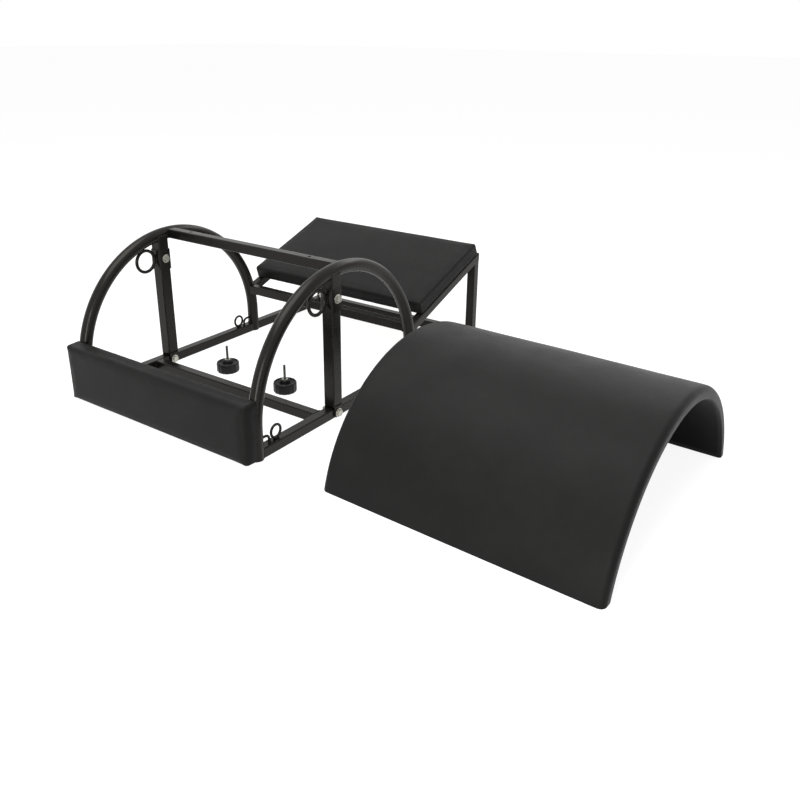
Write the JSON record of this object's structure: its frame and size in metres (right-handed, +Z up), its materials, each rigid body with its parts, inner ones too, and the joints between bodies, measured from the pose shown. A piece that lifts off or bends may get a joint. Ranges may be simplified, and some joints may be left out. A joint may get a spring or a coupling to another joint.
{
  "type": "spine corrector",
  "caption": "Low steel exercise frame with two hoops, a padded footboard, a sloping padded seat, an arched barrel pad laid beside it and its hand knobs.",
  "frame": {"origin": "middle of the whole footprint on the floor, with the barrel pad laid beside the frame", "axes": "+X along the crossbar from the frame towards the barrel pad, +Y from the footboard back to the seat, +Z up"},
  "size_m": [1.2894, 0.8784, 0.338],
  "materials": {
    "black_powder_coat": "satin black powder coat",
    "black_vinyl": "satin grained vinyl",
    "plywood": "raw plywood",
    "lining": "black lining cloth",
    "zinc": "pale yellow passivated zinc plate",
    "black_plastic": "black moulded plastic"
  },
  "bodies": {
    "frame": {"rail_left": "black_powder_coat", "rail_right": "black_powder_coat", "rear_rail_left": "black_powder_coat", "rear_rail_right": "black_powder_coat", "mid_cross_tube": "black_powder_coat", "rear_cross_tube": "black_powder_coat", "front_cross_tube": "black_powder_coat", "hoop_left": "black_powder_coat", "hoop_right": "black_powder_coat", "crossbar": "black_powder_coat", "post_left": "black_powder_coat", "post_right": "black_powder_coat", "post_bracket_left": "black_powder_coat", "post_bracket_right": "black_powder_coat", "top_ring_left": "black_powder_coat", "top_ring_right": "black_powder_coat", "seat_front_bar": "black_powder_coat", "seat_side_bar_left": "black_powder_coat", "seat_side_bar_right": "black_powder_coat", "seat_leg_left": "black_powder_coat", "seat_leg_right": "black_powder_coat", "eyelet_front_left": "black_powder_coat", "foot_ring_front_left": "black_powder_coat", "eyelet_front_right": "black_powder_coat", "foot_ring_front_right": "black_powder_coat", "eyelet_rear_left": "black_powder_coat", "foot_ring_rear_left": "black_powder_coat", "eyelet_rear_right": "black_powder_coat", "foot_ring_rear_right": "black_powder_coat", "lower_bolt_left": "zinc", "lower_bolt_right": "zinc", "lower_nut_left": "zinc", "lower_nut_right": "zinc", "upper_bolt_left": "zinc", "upper_bolt_right": "zinc", "upper_nut_left": "zinc", "upper_nut_right": "zinc", "footboard_screw_1": "zinc", "footboard_screw_2": "zinc", "footboard_screw_3": "zinc", "footboard_screw_4": "zinc", "seat_screw_1": "zinc", "seat_screw_2": "zinc", "seat_screw_3": "zinc", "seat_screw_4": "zinc", "footboard_pad": "black_vinyl", "footboard_board": "plywood", "seat_pad": "black_vinyl", "seat_board": "plywood"},
    "barrel": {"barrel_pad": "black_vinyl", "barrel_board": "plywood", "barrel_lining": "lining", "threaded_insert_left": "zinc", "threaded_insert_right": "zinc"},
    "knob_washer_left": {"knob_washer_left": "zinc"},
    "knob_left": {"knob_left": "black_plastic", "knob_stud_left": "zinc"},
    "knob_washer_right": {"knob_washer_right": "zinc"},
    "knob_right": {"knob_right": "black_plastic", "knob_stud_right": "zinc"}
  },
  "joints": [
    {"name": "barrel_lift", "type": "slide", "parent": "frame", "child": "barrel", "axis": [0, 0, 1], "range_m": [0, 0.35]},
    {"name": "knob_lift_left", "type": "slide", "parent": "frame", "child": "knob_washer_left", "axis": [0, 0, 1], "range_m": [0, 0.12]},
    {"name": "knob_turn_left", "type": "hinge", "parent": "knob_washer_left", "child": "knob_left", "pos_m": [-0.45623, -0.12082, 0], "axis": [0, 0, 1], "continuous": true},
    {"name": "knob_lift_right", "type": "slide", "parent": "frame", "child": "knob_washer_right", "axis": [0, 0, 1], "range_m": [0, 0.12]},
    {"name": "knob_turn_right", "type": "hinge", "parent": "knob_washer_right", "child": "knob_right", "pos_m": [-0.26423, -0.12832, 0], "axis": [0, 0, 1], "continuous": true}
  ]
}
